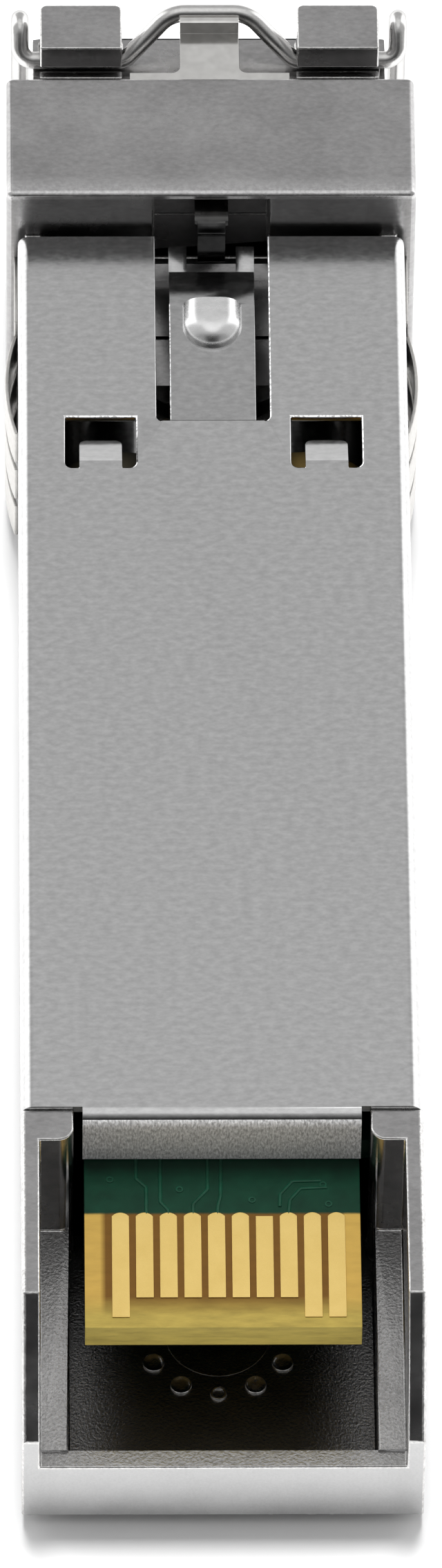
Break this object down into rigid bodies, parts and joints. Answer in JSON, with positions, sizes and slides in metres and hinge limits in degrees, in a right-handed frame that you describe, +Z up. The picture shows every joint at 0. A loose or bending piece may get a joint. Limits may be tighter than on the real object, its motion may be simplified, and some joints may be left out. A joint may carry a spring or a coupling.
{
  "type": "sfp transceiver",
  "caption": "Pluggable optical transceiver: cast housing with a folded cover, edge-contact board, two optical ports and a wire bail that pulls down its latch.",
  "frame": {"origin": "middle of the footprint, on the plane it lies on with the label side down", "axes": "+X across the width, +Y from the contact end to the bail end, +Z up from the label side to the latch side"},
  "size_m": [0.0142, 0.0576, 0.0109],
  "materials": {
    "die_cast": "satin nickel on a fine cast grain",
    "plated_sheet": "satin nickel plate",
    "bright_wire": "polished",
    "steel_strip": "bright rolled",
    "spring_sheet": "bright rolled",
    "board": "solder mask, bare laminate at the contacts",
    "gold": "bright gold plate",
    "chip_black": "moulded",
    "chip_tan": "fired",
    "chip_dark": "fired",
    "turned_steel": "turned",
    "white_ceramic": "ground",
    "gold_can": "gold plate",
    "amber_film": "film"
  },
  "bodies": {
    "module": {"housing": "die_cast", "bottom_cover": "plated_sheet", "emi_clip": "spring_sheet", "circuit_board": "board", "contacts_upper": "gold", "contacts_lower": "gold", "osa_clamp": "steel_strip", "laser_driver": "chip_black", "limiting_amp": "chip_black", "controller": "chip_black", "capacitors": "chip_tan", "resistors": "chip_dark", "tosa_barrel": "turned_steel", "tosa_sleeve": "white_ceramic", "tosa_stub": "white_ceramic", "tosa_can": "gold_can", "tosa_leads": "gold", "tosa_flex": "amber_film", "rosa_barrel": "turned_steel", "rosa_sleeve": "white_ceramic", "rosa_stub": "white_ceramic", "rosa_can": "gold_can", "rosa_leads": "gold", "rosa_flex": "amber_film"},
    "bail": {"bail": "bright_wire"},
    "slider": {"release_slider": "steel_strip"},
    "tongue": {"latch_tongue": "plated_sheet"}
  },
  "joints": [
    {"name": "bail_hinge", "type": "hinge", "parent": "module", "child": "bail", "pos_m": [0, 0.02702, 0.00938], "axis": [1, 0, 0], "range_deg": [0, 90]},
    {"name": "release_slide", "type": "slide", "parent": "module", "child": "slider", "axis": [0, -1, 0], "range_m": [0, 0.00232]},
    {"name": "latch_flex", "type": "hinge", "parent": "module", "child": "tongue", "pos_m": [0, 0.01119, 0.00885], "axis": [-1, 0, 0], "range_deg": [0, 6.88]}
  ],
  "couplings": [
    {"joint": "bail_hinge", "follows": "release_slide", "rad_per_m": 677.07},
    {"joint": "latch_flex", "follows": "release_slide", "rad_per_m": 51.724}
  ]
}
